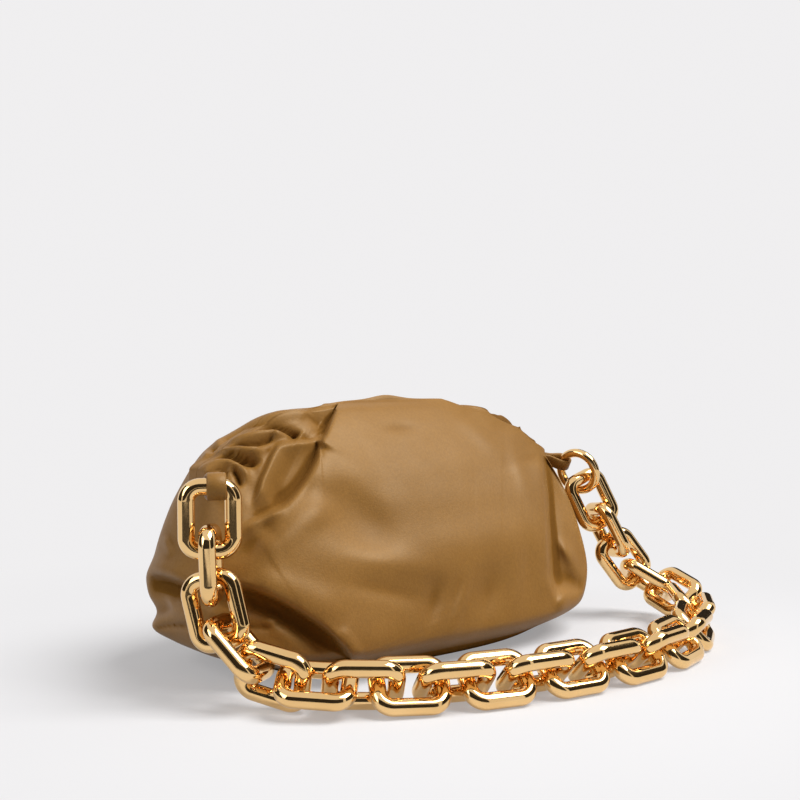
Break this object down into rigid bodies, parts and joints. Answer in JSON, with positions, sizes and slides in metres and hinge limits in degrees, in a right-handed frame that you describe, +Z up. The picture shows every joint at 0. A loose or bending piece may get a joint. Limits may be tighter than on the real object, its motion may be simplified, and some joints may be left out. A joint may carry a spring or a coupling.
{
  "type": "chain shoulder bag",
  "caption": "Soft gathered leather pouch on a hinged mouth frame, with magnets inside and a chunky polished gold-tone chain that lies in a loop in front and is held by leather tabs.",
  "frame": {"origin": "middle of the flat patch under the pouch that it stands on", "axes": "+X along the width towards the ring end of the chain, +Y to the rear, +Z up; the chain lies in front, towards -Y"},
  "size_m": [0.3879, 0.2525, 0.1598],
  "materials": {
    "leather": "soft caramel calf leather, fine grain, satin",
    "lining_suede": "matt brown suede lining",
    "frame_steel": "plain spring steel, hidden in the mouth",
    "magnet": "nickel plated discs",
    "gold": "polished warm gold plating"
  },
  "bodies": {
    "bag": {"front_panel": "leather", "rear_panel": "leather", "lining": "lining_suede", "slip_pocket": "lining_suede", "left_hinge_pin": "frame_steel", "right_hinge_pin": "frame_steel", "left_hinge_bracket": "frame_steel", "right_hinge_bracket": "frame_steel", "left_tab": "leather", "right_tab": "leather"},
    "front_half": {"front_frame": "frame_steel", "front_gather": "leather", "front_facing": "lining_suede", "front_magnets": "magnet"},
    "rear_half": {"rear_frame": "frame_steel", "rear_gather": "leather", "rear_facing": "lining_suede", "rear_magnets": "magnet"},
    "chain": {"ring": "gold", "chain_link_01": "gold"},
    "link_02": {"chain_link_02": "gold"},
    "link_03": {"chain_link_03": "gold"},
    "link_04": {"chain_link_04": "gold"},
    "link_05": {"chain_link_05": "gold"},
    "link_06": {"chain_link_06": "gold"},
    "link_07": {"chain_link_07": "gold"},
    "link_08": {"chain_link_08": "gold"},
    "link_09": {"chain_link_09": "gold"},
    "link_10": {"chain_link_10": "gold"},
    "link_11": {"chain_link_11": "gold"},
    "link_12": {"chain_link_12": "gold"},
    "link_13": {"chain_link_13": "gold"},
    "link_14": {"chain_link_14": "gold"},
    "link_15": {"chain_link_15": "gold"},
    "link_16": {"chain_link_16": "gold"},
    "link_17": {"chain_link_17": "gold"},
    "link_18": {"chain_link_18": "gold"},
    "link_19": {"chain_link_19": "gold"},
    "link_20": {"chain_link_20": "gold"},
    "link_21": {"chain_link_21": "gold"},
    "link_22": {"chain_link_22": "gold"},
    "link_23": {"chain_link_23": "gold"},
    "link_24": {"chain_link_24": "gold"},
    "link_25": {"chain_link_25": "gold"}
  },
  "joints": [
    {"name": "front_frame_open", "type": "hinge", "parent": "bag", "child": "front_half", "pos_m": [0, 0, 0.108], "axis": [1, 0, 0], "range_deg": [0, 35]},
    {"name": "rear_frame_open", "type": "hinge", "parent": "bag", "child": "rear_half", "pos_m": [0, 0, 0.108], "axis": [-1, 0, 0], "range_deg": [0, 35]},
    {"name": "chain_swing", "type": "hinge", "parent": "bag", "child": "chain", "pos_m": [0.15304, -0.01974, 0.1184], "axis": [-0.9957, -0.0928, -0.0041], "range_deg": [0, 130], "deforming": ["left_tab", "right_tab"]},
    {"name": "link_02_roll", "type": "hinge", "parent": "chain", "child": "link_02", "pos_m": [-0.15684, -0.05042, 0.07533], "axis": [-0.004, -0.0832, -0.9965], "range_deg": [-6, 6]},
    {"name": "link_03_roll", "type": "hinge", "parent": "chain", "child": "link_03", "pos_m": [-0.15642, -0.05389, 0.05117], "axis": [0.1193, -0.2372, -0.9641], "range_deg": [-6, 6]},
    {"name": "link_04_roll", "type": "hinge", "parent": "chain", "child": "link_04", "pos_m": [-0.14933, -0.06645, 0.03228], "axis": [0.3592, -0.6268, -0.6914], "range_deg": [-6, 6]},
    {"name": "link_05_roll", "type": "hinge", "parent": "chain", "child": "link_05", "pos_m": [-0.13891, -0.08299, 0.01892], "axis": [0.5356, -0.8203, -0.2008], "range_deg": [-6, 6]},
    {"name": "link_06_roll", "type": "hinge", "parent": "chain", "child": "link_06", "pos_m": [-0.1244, -0.10223, 0.01584], "axis": [0.7521, -0.6566, -0.0572], "range_deg": [-6, 6]},
    {"name": "link_07_roll", "type": "hinge", "parent": "chain", "child": "link_07", "pos_m": [-0.10444, -0.11635, 0.01548], "axis": [0.8487, -0.5276, -0.0374], "range_deg": [-6, 6]},
    {"name": "link_08_roll", "type": "hinge", "parent": "chain", "child": "link_08", "pos_m": [-0.08316, -0.12836, 0.0143], "axis": [0.8965, -0.4422, -0.0269], "range_deg": [-6, 6]},
    {"name": "link_09_roll", "type": "hinge", "parent": "chain", "child": "link_09", "pos_m": [-0.06066, -0.13801, 0.01434], "axis": [0.9359, -0.3521, -0.0102], "range_deg": [-6, 6]},
    {"name": "link_10_roll", "type": "hinge", "parent": "chain", "child": "link_10", "pos_m": [-0.03743, -0.14572, 0.01378], "axis": [0.9619, -0.2734, -0.0011], "range_deg": [-6, 6]},
    {"name": "link_11_roll", "type": "hinge", "parent": "chain", "child": "link_11", "pos_m": [-0.01366, -0.15158, 0.01412], "axis": [0.9786, -0.206, 0.0001], "range_deg": [-6, 6]},
    {"name": "link_12_roll", "type": "hinge", "parent": "chain", "child": "link_12", "pos_m": [0.01046, -0.15581, 0.01378], "axis": [0.9903, -0.1389, -0.0001], "range_deg": [-6, 6]},
    {"name": "link_13_roll", "type": "hinge", "parent": "chain", "child": "link_13", "pos_m": [0.03481, -0.15833, 0.01415], "axis": [0.9978, -0.0665, -0.0002], "range_deg": [-6, 6]},
    {"name": "link_14_roll", "type": "hinge", "parent": "chain", "child": "link_14", "pos_m": [0.05928, -0.15879, 0.01366], "axis": [0.9996, 0.0286, 0.0001], "range_deg": [-6, 6]},
    {"name": "link_15_roll", "type": "hinge", "parent": "chain", "child": "link_15", "pos_m": [0.08364, -0.15662, 0.01428], "axis": [0.9889, 0.1486, 0.0005], "range_deg": [-6, 6]},
    {"name": "link_16_roll", "type": "hinge", "parent": "chain", "child": "link_16", "pos_m": [0.10749, -0.15129, 0.01357], "axis": [0.9583, 0.2858, -0.0005], "range_deg": [-6, 6]},
    {"name": "link_17_roll", "type": "hinge", "parent": "chain", "child": "link_17", "pos_m": [0.13029, -0.14252, 0.01435], "axis": [0.9028, 0.4301, -0.0001], "range_deg": [-6, 6]},
    {"name": "link_18_roll", "type": "hinge", "parent": "chain", "child": "link_18", "pos_m": [0.15157, -0.13051, 0.01382], "axis": [0.8316, 0.5552, 0.0156], "range_deg": [-6, 6]},
    {"name": "link_19_roll", "type": "hinge", "parent": "chain", "child": "link_19", "pos_m": [0.17083, -0.11552, 0.01526], "axis": [0.7473, 0.663, 0.0436], "range_deg": [-6, 6]},
    {"name": "link_20_roll", "type": "hinge", "parent": "chain", "child": "link_20", "pos_m": [0.18781, -0.09797, 0.01595], "axis": [0.6294, 0.7731, 0.0789], "range_deg": [-6, 6]},
    {"name": "link_21_roll", "type": "hinge", "parent": "chain", "child": "link_21", "pos_m": [0.19789, -0.07694, 0.0216], "axis": [0.2404, 0.9491, 0.2034], "range_deg": [-6, 6]},
    {"name": "link_22_roll", "type": "hinge", "parent": "chain", "child": "link_22", "pos_m": [0.19738, -0.05464, 0.02693], "axis": [-0.4452, 0.7637, 0.4675], "range_deg": [-6, 6]},
    {"name": "link_23_roll", "type": "hinge", "parent": "chain", "child": "link_23", "pos_m": [0.1833, -0.04404, 0.04251], "axis": [-0.5359, 0.273, 0.7989], "range_deg": [-6, 6]},
    {"name": "link_24_roll", "type": "hinge", "parent": "chain", "child": "link_24", "pos_m": [0.17271, -0.03796, 0.06367], "axis": [-0.3885, 0.2397, 0.8897], "range_deg": [-6, 6]},
    {"name": "link_25_roll", "type": "hinge", "parent": "chain", "child": "link_25", "pos_m": [0.16408, -0.03082, 0.08542], "axis": [-0.3024, 0.3035, 0.9036], "range_deg": [-6, 6]}
  ],
  "couplings": [
    {"joint": "rear_frame_open", "follows": "front_frame_open", "ratio": 1}
  ]
}
